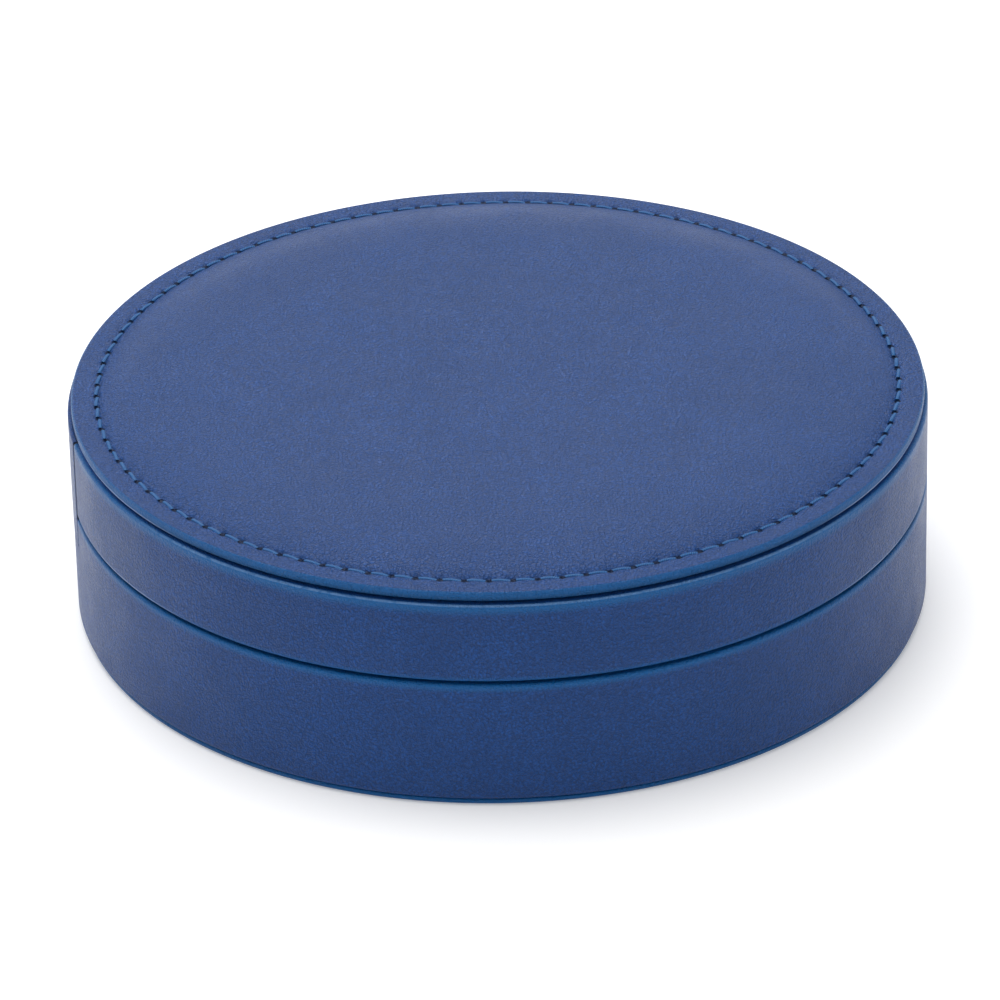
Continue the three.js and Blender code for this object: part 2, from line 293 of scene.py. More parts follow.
def cut_away(piece, cutter):
    """Takes the cutter's volume out of a piece and removes the cutter."""
    apply_modifier(piece, "BOOLEAN", operation="DIFFERENCE", solver="EXACT", object=cutter)
    bpy.data.objects.remove(cutter)
    bpy.ops.object.shade_smooth_by_angle(angle=math.radians(CREASE_DEGREES))


def place(piece, body, node_names, slot, material):
    """Gives a finished piece its material and its body, and hides the frame nodes that it stands for."""
    piece.data.materials.clear()
    piece.data.materials.append(material)
    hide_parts(*node_names)
    if body:
        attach(piece, body)


# ---- Materials --------------------------------------------------------------------------------

class Shader:
    """A small helper that adds and links the nodes of one material."""

    MIX_A, MIX_B, MIX_RESULT = 6, 7, 2  # the colour sockets of a Mix node

    def __init__(self, name, roughness, metallic=0.0, specular=0.5):
        self.material = bpy.data.materials.get(name) or bpy.data.materials.new(name)
        self.material.use_nodes = True
        self.tree = self.material.node_tree
        self.tree.nodes.clear()
        self.surface = self.add("ShaderNodeBsdfPrincipled")
        self.surface.inputs["Roughness"].default_value = roughness
        self.surface.inputs["Metallic"].default_value = metallic
        self.surface.inputs["Specular IOR Level"].default_value = specular
        output = self.add("ShaderNodeOutputMaterial")
        self.link(self.surface.outputs["BSDF"], output.inputs["Surface"])
        self.place = self.add("ShaderNodeTexCoord").outputs["Object"]

    def add(self, kind, **settings):
        node = self.tree.nodes.new(kind)
        for key, value in settings.items():
            setattr(node, key, value)
        return node

    def link(self, source, target):
        self.tree.links.new(source, target)

    def set_input(self, node, key, value):
        if isinstance(value, bpy.types.NodeSocket):
            self.link(value, node.inputs[key])
        else:
            node.inputs[key].default_value = value

    def math(self, operation, first, second=0.0):
        """The result of one operation on sockets or numbers."""
        node = self.add("ShaderNodeMath", operation=operation)
        self.set_input(node, 0, first)
        self.set_input(node, 1, second)
        return node.outputs[0]

    def noise(self, spacing, detail=3.0, roughness=0.55, distortion=0.0):
        """Noise whose features are about `spacing` metres apart."""
        node = self.add("ShaderNodeTexNoise")
        self.link(self.place, node.inputs["Vector"])
        node.inputs["Scale"].default_value = 1 / spacing
        node.inputs["Detail"].default_value = detail
        node.inputs["Roughness"].default_value = roughness
        node.inputs["Distortion"].default_value = distortion
        return node.outputs["Fac"]

    def cell_edges(self, spacing, wander):
        """Distance to the edges of cells about `spacing` metres across, pushed about by `wander` metres."""
        push = self.add("ShaderNodeTexNoise")
        self.link(self.place, push.inputs["Vector"])
        push.inputs["Scale"].default_value = 0.7 / spacing
        shift = self.add("ShaderNodeVectorMath", operation="MULTIPLY_ADD")
        self.link(push.outputs["Color"], shift.inputs[0])
        shift.inputs[1].default_value = (wander,) * 3
        self.link(self.place, shift.inputs[2])
        node = self.add("ShaderNodeTexVoronoi", feature="DISTANCE_TO_EDGE")
        node.inputs["Scale"].default_value = 1 / spacing
        self.link(shift.outputs[0], node.inputs["Vector"])
        return node.outputs["Distance"]

    def span(self, value, low, high, to_low=0.0, to_high=1.0):
        """Maps low..high smoothly to to_low..to_high."""
        node = self.add("ShaderNodeMapRange", interpolation_type="SMOOTHSTEP")
        self.set_input(node, "Value", value)
        node.inputs["From Min"].default_value = low
        node.inputs["From Max"].default_value = high
        node.inputs["To Min"].default_value = to_low
        node.inputs["To Max"].default_value = to_high
        return node.outputs["Result"]

    def mix(self, share, first, second):
        """`first` where the share is 0, `second` where it is 1."""
        node = self.add("ShaderNodeMix", data_type="RGBA")
        self.set_input(node, "Factor", share)
        for key, value in ((self.MIX_A, first), (self.MIX_B, second)):
            self.set_input(node, key, (*value, 1.0) if isinstance(value, tuple) else value)
        return node.outputs[self.MIX_RESULT]

    def polar(self):
        """(radius, turn, height) of the surface point about the case's axis."""
        parts = self.add("ShaderNodeSeparateXYZ")
        self.link(self.place, parts.inputs[0])
        flat = self.math("POWER", parts.outputs[0], 2.0)
        deep = self.math("POWER", parts.outputs[1], 2.0)
        radius = self.math("SQRT", self.math("ADD", flat, deep))
        turn = self.math("ARCTAN2", parts.outputs[1], parts.outputs[0])
        return radius, turn, parts.outputs[2]

    def colour(self, value):
        """Sets the colour of the surface."""
        self.link(value, self.surface.inputs["Base Color"])

    def bump(self, height, depth, strength=1.0):
        """Raises the surface by `depth` metres where height is 1."""
        node = self.add("ShaderNodeBump")
        node.inputs["Strength"].default_value = strength
        node.inputs["Distance"].default_value = depth
        self.link(height, node.inputs["Height"])
        normal = self.surface.inputs["Normal"]
        if normal.links:
            self.link(normal.links[0].from_socket, node.inputs["Normal"])
        self.link(node.outputs["Normal"], normal)


def shaded(value, factor):
    """A colour made darker or lighter."""
    return tuple(channel * factor for channel in value)


def leather_shader(name, *overlays):
    """Fine-grained satin leather.

    Each overlay is (share, tone): share(shader) is 1 where the leather is stretched, cut or pierced,
    or where a highlight, glint or shade is painted on it, and tone is its colour there.
    """
    shader = Shader(name, roughness=0.4, specular=0.25)
    base = tuple(colours().leather)
    cloud_size, wave_size, gloss_size = 22 * MM, 28 * MM, 9 * MM
    wrinkle_size, pore_size, fleck_size = 2.6 * MM, 0.62 * MM, 0.55 * MM
    mottle = shader.span(shader.noise(cloud_size, detail=2.0, distortion=0.6), 0.3, 0.7)
    body = shader.mix(mottle, shaded(base, 0.93), shaded(base, 1.1))
    pores = shader.span(shader.cell_edges(pore_size, 0.45 * MM), 0.0, 0.16)
    fleck = shader.span(shader.noise(fleck_size, roughness=0.7), 0.32, 0.68)
    body = shader.mix(fleck, shaded(base, 0.55), body)
    body = shader.mix(shader.span(pores, 0.0, 1.0, 0.5, 0.0), body, shaded(base, 0.45))
    for share, tone in overlays:
        body = shader.mix(share(shader), body, tuple(tone))
    shader.colour(body)
    gloss = shader.span(shader.noise(gloss_size, detail=2.0), 0.3, 0.7, 0.3, 0.38)
    shader.link(gloss, shader.surface.inputs["Roughness"])
    shader.bump(shader.noise(wave_size, detail=2.0), 0.5 * MM, 0.35)
    shader.bump(shader.noise(wrinkle_size, detail=5.0, roughness=0.62, distortion=0.8), 0.2 * MM, 0.6)
    shader.bump(fleck, 0.1 * MM)
    shader.bump(pores, 0.08 * MM)
    return shader.material


def needle_hole_share(shader):
    """1 in the needle holes between the stitches, which are painted dark as shade, 0 elsewhere."""
    half_length, half_width = 0.74 * MM, 0.6 * MM
    radius, turn, _ = shader.polar()
    count = sizes().stitch_count
    pitch = FULL_TURN / count * STITCH_CIRCLE
    along = shader.math("MULTIPLY", turn, count / FULL_TURN)
    nearest = shader.math("SUBTRACT", along, shader.math("ROUND", along))
    along_hole = shader.math("MULTIPLY", nearest, pitch / half_length)
    across = shader.math("SUBTRACT", radius, STITCH_CIRCLE)
    across_hole = shader.math("MULTIPLY", across, 1 / half_width)
    distance = shader.math("SQRT", shader.math(
        "ADD", shader.math("POWER", along_hole, 2.0), shader.math("POWER", across_hole, 2.0)))
    return shader.span(distance, 0.75, 1.15, 1.0, 0.0)


def near_height(shader, level, reach, most=1.0):
    """`most` at one height, fading out smoothly until `reach` away from it."""
    _, _, height = shader.polar()
    gap = shader.math("ABSOLUTE", shader.math("SUBTRACT", height, level))
    return shader.span(gap, reach * 0.2, reach, most, 0.0)


def beyond(shader, radius):
    """1 farther out than a radius, 0 inside it."""
    soft = 0.05 * MM
    outward, _, _ = shader.polar()
    return shader.span(outward, radius - soft, radius + soft)


def from_hinge(shader, low, high):
    """0 up to `low` radians round from the middle of the hinge, 1 beyond `high`."""
    _, turn, _ = shader.polar()
    away = shader.math("ABSOLUTE", shader.math("SUBTRACT", turn, HINGE_MIDDLE))
    round_back = shader.math("SUBTRACT", FULL_TURN, away)
    return shader.span(shader.math("MINIMUM", away, round_back), low, high)


def patchy(shader, share, spacing):
    """A share broken up by noise."""
    breaks = shader.span(shader.noise(spacing, detail=4.0), 0.32, 0.5, 0.35, 1.0)
    return shader.math("MULTIPLY", share, breaks)


def both_sides(shader):
    """1 round the hinge side and round the front, 0 over the two flanks between them."""
    past_hinge = from_hinge(shader, 0.45, 0.8)
    past_flank = from_hinge(shader, 2.3, 2.65)
    return shader.math("SUBTRACT", 1.0, shader.math("SUBTRACT", past_hinge, past_flank))


def flanks(shader):
    """1 over the two flanks between the hinge side and the front, 0 elsewhere."""
    return shader.math("SUBTRACT", 1.0, both_sides(shader))


def thread_shader():
    """Twisted thread: slanting strands that follow the stitch circle."""
    shader = Shader("sewing_thread", roughness=0.5, specular=0.35)
    base = tuple(colours().thread)
    radius, turn, _ = shader.polar()
    strand_spacing, lean = 0.42 * MM, 0.9
    travel = shader.math("MULTIPLY", turn, STITCH_CIRCLE)
    slant = shader.math("ADD", travel, shader.math("MULTIPLY", radius, lean))
    strands = shader.math("SINE", shader.math("MULTIPLY", slant, FULL_TURN / strand_spacing))
    lit = shader.span(strands, -1.0, 1.0)
    shader.colour(shader.mix(lit, shaded(base, 0.55), shaded(base, 1.2)))
    shader.bump(lit, 0.07 * MM, 0.9)
    shader.bump(shader.noise(0.15 * MM), 0.02 * MM, 0.6)
    return shader.material


def velvet_shader():
    """Short-pile velvet, brushed lighter and darker in patches."""
    shader = Shader("lining_velvet", roughness=0.85, specular=0.15)
    base = tuple(colours().velvet)
    brushed = shader.span(shader.noise(14 * MM, detail=4.0, distortion=1.2), 0.32, 0.68)
    pile = shader.noise(0.35 * MM, detail=2.0)
    tone = shader.mix(brushed, shaded(base, 0.8), shaded(base, 1.3))
    shader.colour(shader.mix(shader.span(pile, 0.3, 0.7, 0.0, 0.5), tone, shaded(base, 0.5)))
    shader.surface.inputs["Sheen Weight"].default_value = 0.55
    shader.surface.inputs["Sheen Roughness"].default_value = 0.4
    shader.surface.inputs["Sheen Tint"].default_value = (0.35, 0.45, 0.75, 1.0)
    shader.bump(brushed, 0.15 * MM, 0.4)
    shader.bump(pile, 0.1 * MM, 0.7)
    return shader.material


def board_shader():
    """Pressed grey board with short fibres."""
    shader = Shader("grey_board", roughness=0.9, specular=0.2)
    base = tuple(colours().board)
    fibre = shader.noise(1.2 * MM, detail=6.0, roughness=0.7, distortion=2.0)
    shader.colour(shader.mix(shader.span(fibre, 0.35, 0.65), shaded(base, 0.75), shaded(base, 1.15)))
    shader.bump(fibre, 0.06 * MM, 0.6)
    return shader.material


def foam_shader():
    """Open-cell foam."""
    shader = Shader("padding_foam", roughness=0.95, specular=0.1)
    base = tuple(colours().foam)
    cells = shader.span(shader.cell_edges(0.9 * MM, 0.3 * MM), 0.0, 0.2)
    shader.colour(shader.mix(cells, shaded(base, 1.05), shaded(base, 0.78)))
    shader.bump(cells, 0.15 * MM, 0.6)
    return shader.material


def magnet_shader():
    """Nickel-plated magnet with faint handling marks."""
    shader = Shader("plated_magnet", roughness=0.3, metallic=1.0)
    marks = shader.noise(1.5 * MM, detail=5.0)
    shader.colour(shader.mix(marks, (0.42, 0.42, 0.43), (0.62, 0.61, 0.6)))
    shader.link(shader.span(marks, 0.3, 0.7, 0.24, 0.4), shader.surface.inputs["Roughness"])
    return shader.material


def mirror_shader():
    """Silvered glass with the faintest haze."""
    shader = Shader("silvered_mirror", roughness=0.03, metallic=1.0)
    haze = shader.noise(30 * MM, detail=3.0)
    shader.colour(shader.mix(haze, (0.84, 0.87, 0.88), (0.88, 0.9, 0.91)))
    shader.link(shader.span(haze, 0.4, 0.8, 0.015, 0.045), shader.surface.inputs["Roughness"])
    return shader.material


# ---- Stage ------------------------------------------------------------------------------------

class CASE_OT_stage(bpy.types.Operator):
    """Adds the camera, the pale floor and the soft studio light"""
    bl_idname = "case.stage"
    bl_label = "Studio stage"

    AZIMUTH = math.radians(-91.5)
    ELEVATION = math.radians(29.717)
    DISTANCE = 1.2295
    FOCAL_MM = 249.6
    ROLL = math.radians(-1.33)
    TILT = math.radians(0.697)
    PAN = math.radians(0.018)
    FLOOR_RADIUS = 3.0
    WORLD_STRENGTH = 0.65
    FLOOR_GLOW = 0.18

    def camera(self):
        back = Vector((math.sin(self.AZIMUTH) * math.cos(self.ELEVATION),
                       -math.cos(self.AZIMUTH) * math.cos(self.ELEVATION),
                       math.sin(self.ELEVATION)))
        data = bpy.data.cameras.new("studio_camera")
        data.sensor_width = 36.0
        data.lens = self.FOCAL_MM
        data.clip_start, data.clip_end = 0.05, 20.0
        camera = bpy.data.objects.new("studio_camera", data)
        bpy.context.scene.collection.objects.link(camera)
        facing = (-back).to_track_quat("-Z", "Y").to_matrix().to_4x4()
        turned_head = (Matrix.Rotation(self.ROLL, 4, "Z") @ Matrix.Rotation(self.TILT, 4, "X")
                       @ Matrix.Rotation(self.PAN, 4, "Y"))
        camera.matrix_world = Matrix.Translation(back * self.DISTANCE) @ facing @ turned_head
        bpy.context.scene.camera = camera

    def floor(self):
        clear_selection()
        clear_of_foot = 0.05 * MM
        bpy.ops.mesh.primitive_circle_add(vertices=96, radius=self.FLOOR_RADIUS, fill_type="NGON",
                                          location=(0, 0, -clear_of_foot))
        floor = bpy.context.object
        floor.name = "studio_floor"
        shader = Shader("studio_floor", roughness=0.8, specular=0.1)
        tone = tuple(colours().floor)
        shader.colour(shader.mix(shader.noise(400 * MM), shaded(tone, 0.995), tone))
        shader.surface.inputs["Emission Color"].default_value = (1.0, 1.0, 1.0, 1.0)
        shader.surface.inputs["Emission Strength"].default_value = self.FLOOR_GLOW
        floor.data.materials.append(shader.material)

    def area_light(self, name, place, size, watts):
        """A soft box that faces the case."""
        data = bpy.data.lights.new(name, "AREA")
        data.shape = "RECTANGLE"
        data.size, data.size_y = size
        data.energy = watts
        light = bpy.data.objects.new(name, data)
        light.matrix_world = (Matrix.Translation(place)
                              @ (-Vector(place)).to_track_quat("-Z", "Y").to_matrix().to_4x4())
        bpy.context.scene.collection.objects.link(light)

    def light(self):
        world = bpy.data.worlds.new("studio_world")
        world.use_nodes = True
        sky = world.node_tree.nodes["Background"]
        sky.inputs["Color"].default_value = (1.0, 1.0, 1.0, 1.0)
        sky.inputs["Strength"].default_value = self.WORLD_STRENGTH
        bpy.context.scene.world = world
        self.area_light("overhead_softbox", (0.35, 0.25, 1.5), (1.6, 1.6), 22.0)
        self.area_light("back_softbox", (1.6, 0.15, 0.95), (1.5, 0.8), 6.5)

    def execute(self, context):
        context.scene.view_settings.view_transform = "Standard"
        self.camera()
        self.floor()
        self.light()
        return {"FINISHED"}


# ---- Leather walls ----------------------------------------------------------------------------

def notch_cutter(name, gap, low, high):
    """What is cut out of a wall's leather to let the hinge strip in, `gap` wider than it at each end."""
    inner, outer = CORE + 0.05 * MM, WALL + 2 * MM
    outline = closed([(inner, low), (outer, low), (outer, high), (inner, high)])
    return swept_plate(name, outline, HINGE_MIDDLE, STRIP_HALF + gap / WALL, 48)


def up_the_wall(low, high):
    """Points up the outside of a wall, without its two ends."""
    return [(WALL, height) for height in levels(low, high, 1.6 * MM)[1:-1]]


class CASE_OT_base_wall(bpy.types.Operator):
    """Wraps the base's wall in leather, turned over the rim and under the base"""
    bl_idname = "case.base_wall"
    bl_label = "Base wall leather"

    FLAP = 8.3 * MM  # how far the leather reaches down inside the rim
    HEM = 9 * MM  # how far it reaches in under the base
    FOOT = 0.9 * MM  # rounding of the lower edge

    def execute(self, context):
        leather, roll, foot = sizes().leather, sizes().edge_roll, self.FOOT
        skin = WALL - leather
        inner = LINING_OUTER - leather
        flap_end = BASE_RIM - self.FLAP
        under = WALL - self.HEM
        outline = [(under, BASE_BOTTOM), (WALL - 4 * MM, BASE_BOTTOM)]
        outline += arc(WALL - foot, BASE_BOTTOM + foot, foot, -90, 0)
        outline += up_the_wall(BASE_BOTTOM + foot, BASE_RIM - roll)
        outline += arc(WALL - roll, BASE_RIM - roll, roll, 0, 90, 8)
        outline += arc(inner + roll, BASE_RIM - roll, roll, 90, 180, 8)
        outline += [(inner, flap_end), (inner + leather, flap_end)]
        outline += [(inner + leather, BASE_RIM - leather), (skin, BASE_RIM - leather)]
        outline += [(skin, BASE_BOTTOM + leather), (under, BASE_BOTTOM + leather)]
        wall = turned("base_wall_leather", closed(outline), around=360)
        cut_away(wall, notch_cutter("base_notch", 0.06 * MM, STRIP_BOTTOM - 0.1 * MM, BASE_RIM + MM))

        # Band at the rim: stretched leather, partly painted light, brighter and more saturated where the roll
        # catches light.
        def stretched_rim_painted_light(shader):
            return near_height(shader, BASE_RIM, 1.7 * MM)

        material = leather_shader("base_wall_leather", (stretched_rim_painted_light, colours().edge))
        place(wall, "base", ["base_side_leather"], "case_leather", material)
        return {"FINISHED"}


class CASE_OT_base_foot(bpy.types.Operator):
    """Lays the leather disc that the case stands on"""
    bl_idname = "case.base_foot"
    bl_label = "Foot leather"

    def execute(self, context):
        radius, high = outer_radius("base_bottom_cover"), top_of("base_bottom_cover")
        round_edge = 0.35 * MM
        foot = turned("base_foot_leather", [
            (0, 0), (radius / 2, 0),
            *arc(radius - round_edge, round_edge, round_edge, -90, 0, 4),
            *arc(radius - round_edge, high - round_edge, round_edge, 0, 90, 4),
            (radius / 2, high), (0, high),
        ], around=240)

        def cut_edge(shader):
            return beyond(shader, radius - 0.6 * MM)

        material = leather_shader("foot_leather", (cut_edge, colours().edge))
        place(foot, "base", ["base_bottom_cover"], "case_leather", material)
        return {"FINISHED"}


class CASE_OT_lid_wall(bpy.types.Operator):
    """Wraps the lid's wall in leather, turned over at both edges"""
    bl_idname = "case.lid_wall"
    bl_label = "Lid wall leather"

    FLAP = 7.2 * MM  # how far the leather reaches up inside the rim
    LEDGE = 1.9 * MM  # how far the groove runs in under the padded panel

    def execute(self, context):
        leather, roll = sizes().leather, sizes().edge_roll
        skin = WALL - leather
        inner = LINING_OUTER - leather
        flap_end = LID_RIM + self.FLAP
        shelf = outer_radius("lid_top_board") + 0.15 * MM
        low, high = LID_RIM + sizes().seam_ease, LID_WALL_TOP - sizes().panel_groove
        crest = roll * 0.8
        ledge = PANEL - self.LEDGE
        outline = arc(inner + roll, low + roll, roll, 180, 270, 8)
        outline += arc(WALL - roll, low + roll, roll, -90, 0, 8)
        outline += up_the_wall(low + roll, high - crest)
        outline += arc(WALL - crest, high - crest, crest, 0, 90, 8)
        outline += [(ledge, high), (ledge - 0.2 * MM, LID_WALL_TOP)]
        outline += [(shelf, LID_WALL_TOP), (shelf, LID_WALL_TOP - leather)]
        outline += [(skin, LID_WALL_TOP - leather), (skin, low + leather)]
        outline += [(inner + leather, low + leather), (inner + leather, flap_end), (inner, flap_end)]
        wall = turned("lid_wall_leather", closed(outline), around=360)
        cut_away(wall, notch_cutter("lid_notch", 0.5 * MM, LID_RIM - MM, LID_WALL_TOP + MM))
        material = self.leather_with_painted_light(low, high)
        place(wall, "lid", ["lid_side_leather"], "case_leather", material)
        return {"FINISHED"}

    def leather_with_painted_light(self, low, high):
        """The wall's leather: stretched at both edges with painted light on those bands, a painted highlight
        along the crest, a painted glint at the rim, and dark cut ends.
        """
        tones = colours()

        # Band along the crest: stretched leather, partly painted light on the roll.
        def stretched_crest_painted_light(shader):
            return near_height(shader, high, 2.2 * MM)

        # Band along the lower rim: stretched leather, partly painted light on the roll.
        def stretched_rim_painted_light(shader):
            return near_height(shader, low, 1.2 * MM, 0.55)

        def groove(shader):
            inside = shader.math("SUBTRACT", 1.0, beyond(shader, WALL - 0.62 * MM))
            return shader.math("MULTIPLY", inside, near_height(shader, high, 0.9 * MM))

        # Painted highlight: a pale line on the crest, only on the flanks, broken up in patches.
        def painted_crest_highlight(shader):
            line = shader.math("MULTIPLY", near_height(shader, high - 0.06 * MM, 0.24 * MM),
                               beyond(shader, WALL - 0.55 * MM))
            return patchy(shader, shader.math("MULTIPLY", line, flanks(shader)), 1.6 * MM)

        # Painted reflection: a pale glint along the lower rim, round the hinge side and the front only.
        def painted_rim_glint(shader):
            line = near_height(shader, low + 0.35 * MM, 0.26 * MM, 0.7)
            return shader.math("MULTIPLY", line, both_sides(shader))

        def cut_ends(shader):
            gap = STRIP_HALF + 0.6 * MM / WALL
            near = shader.math("SUBTRACT", 1.0, from_hinge(shader, gap, gap + 0.1 * MM / WALL))
            return shader.math("MULTIPLY", near, beyond(shader, CORE))

        return leather_shader(
            "lid_wall_leather", (stretched_crest_painted_light, tones.edge), (stretched_rim_painted_light, tones.edge),
            (groove, shaded(tones.leather, 1.1)), (painted_crest_highlight, tones.crest_highlight),
            (painted_rim_glint, tones.painted_glint), (cut_ends, shaded(tones.leather, 0.1)))


class CASE_OT_hinge_strip(bpy.types.Operator):
    """Makes the leather hinge as one fixed strip between the base and the lid, finely divided at the fold"""
    bl_idname = "case.hinge_strip"
    bl_label = "Hinge strip"

    BEND = 1.4 * MM  # half the height of the finely divided stretch at the fold
    HALF_FOLD = 0.6 * MM
    COARSE, FINE = 0.8 * MM, 0.2 * MM

    def execute(self, context):
        inner = CORE + 0.15 * MM
        proud = sizes().strip_proud
        bend_low, bend_high = FOLD - self.BEND, FOLD + self.BEND
        top = min(STRIP_TOP, LID_WALL_TOP - sizes().panel_groove)
        heights = levels(STRIP_BOTTOM, bend_low, self.COARSE)[:-1]
        heights += levels(bend_low, bend_high, self.FINE)
        heights += levels(bend_high, top, self.COARSE)[1:]

        def outside(height):
            """A little proud of the wall, most of all from the fold up."""
            rise = min(max((height - STRIP_BOTTOM) / (FOLD - STRIP_BOTTOM), 0), 1)
            return WALL + proud * (0.4 + 0.6 * rise)

        outline = [(inner, height) for height in reversed(heights)]
        outline += [(outside(height), height) for height in heights]
        strip = swept_plate("hinge_strip_leather", closed(outline), HINGE_MIDDLE, STRIP_HALF, 40)
        apply_modifier(strip, "BEVEL", width=0.3 * MM, segments=3, limit_method="ANGLE",
                       angle_limit=math.radians(CREASE_DEGREES))
        bpy.ops.object.shade_smooth_by_angle(angle=math.radians(CREASE_DEGREES))

        def cut_ends(shader):
            return from_hinge(shader, STRIP_HALF - 0.16 * MM / WALL, STRIP_HALF - 0.06 * MM / WALL)

        material = leather_shader("hinge_leather", (cut_ends, shaded(colours().leather, 0.08)))
        place(strip, None, ["hinge_strip_lower", "hinge_strip_upper"], "case_leather", material)
        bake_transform(strip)
        return {"FINISHED"}


# ---- Padded lid -------------------------------------------------------------------------------

PAD_EDGE = STITCH_CIRCLE - 0.35 * MM  # the padding ends just inside the stitches


def panel_margin():
    """Height of the flat margin round the padding: backing, glue, leather and its stuffing."""
    return BACKING_TOP + 0.85 * MM + sizes().panel_bulge


def pad_rise(share):
    """How high the padding lifts the leather above the margin, a share of the way to its edge."""
    return (CROWN - panel_margin()) * (1 - share ** 12) * (1 - 0.12 * share ** 2)


class CASE_OT_padded_lid(bpy.types.Operator):
    """Stretches the top leather over its padding, with the margin, the crease and the needle holes"""
    bl_idname = "case.padded_lid"
    bl_label = "Padded lid"

    RINGS = 26  # over the padding, closer together towards the stitches
    SKIRT = 0.75 * MM  # thickness of the edge that turns down over the backing
    LIFT_OFF = 0.1 * MM  # how far that edge ends above the backing's foot
    LOWER_ROLL = 0.3 * MM

    def execute(self, context):
        outline = self.underside() + self.edge() + self.margin() + self.over_the_padding()
        panel = turned("lid_padded_leather", outline, around=6 * sizes().stitch_count)
        self.press_holes(panel)
        place(panel, "lid", ["lid_top_leather"], "case_leather", self.leather_with_painted_light())
        return {"FINISHED"}

    def underside(self):
        """From the axis out to the skirt, below the leather."""
        inside = panel_margin() - 0.7 * MM
        floor = inside - 0.02 * MM
        points = [(share * PAD_EDGE, inside + pad_rise(share)) for share in (0, 0.35, 0.6, 0.78, 0.9, 0.97)]
        return points + [(STITCH_CIRCLE - MM, floor), (PANEL - self.SKIRT, floor)]

    def edge(self):
        """Down the inside of the skirt and up its outside."""
        foot, roll, upper_roll = PANEL_BOTTOM + self.LIFT_OFF, self.LOWER_ROLL, sizes().panel_edge
        return ([(PANEL - self.SKIRT, foot)] + arc(PANEL - roll, foot + roll, roll, -75, 0, 4)
                + arc(PANEL - upper_roll, panel_margin() - upper_roll, upper_roll, 0, 90, 8))

    def margin(self):
        """In over the margin, sinking towards the stitches."""
        start = PANEL - sizes().panel_edge
        return [(start + (STITCH_CIRCLE - start) * share, panel_margin() - sizes().stitch_crease * share ** 5)
                for share in (0.15, 0.3, 0.45, 0.6, 0.72, 0.82, 0.9, 0.96, 1.0)]

    def over_the_padding(self):
        """From the stitches in over the padding to the crown."""
        points = []
        for ring in range(self.RINGS + 1):
            share = 1 - (ring / self.RINGS) ** 2.2
            sunk = sizes().stitch_crease * share ** 40
            points.append((share * PAD_EDGE, panel_margin() + pad_rise(share) - sunk))
        return points

    def press_holes(self, panel):
        """Pulls the leather down at each needle hole and a little along each stitch."""
        pitch = FULL_TURN / sizes().stitch_count
        above = panel_margin() - MM

        def at_hole(point):
            on_circle = abs(math.hypot(point.x, point.y) - STITCH_CIRCLE) < 0.1 * MM
            steps = math.atan2(point.y, point.x) / pitch
            return on_circle and point.z > above and abs(steps - round(steps)) < 0.02

        edit(panel)
        select_where(panel, at_hole)
        bpy.ops.transform.translate(
            value=(0, 0, -sizes().needle_hole), use_proportional_edit=True,
            proportional_edit_falloff="SMOOTH", proportional_size=1.1 * MM)
        bpy.ops.object.mode_set(mode="OBJECT")

    def leather_with_painted_light(self):
        """The panel's leather: stretched at its edge with painted light on that band, painted shade along its
        foot, a painted glint at the lower corner, and needle holes painted dark as shade.
        """
        tones = colours()

        # Band round the panel's edge: stretched leather, partly painted light on the roll.
        def stretched_edge_painted_light(shader):
            return shader.math("MULTIPLY", beyond(shader, PANEL - 0.3 * MM), 0.85)

        def shaded_foot(shader):
            line = near_height(shader, PANEL_BOTTOM, 1.2 * MM, 0.9)
            return shader.math("MULTIPLY", line, flanks(shader))

        # Painted reflection: a pale glint along the panel's lower corner, round the hinge side and the front
        # only.
        def painted_corner_glint(shader):
            line = near_height(shader, PANEL_BOTTOM + 0.28 * MM, 0.24 * MM)
            return shader.math("MULTIPLY", line, both_sides(shader))

        return leather_shader(
            "lid_top_leather", (stretched_edge_painted_light, tones.edge), (shaded_foot, shaded(tones.edge, 0.5)),
            (painted_corner_glint, tones.painted_glint), (needle_hole_share, shaded(tones.leather, 0.18)))


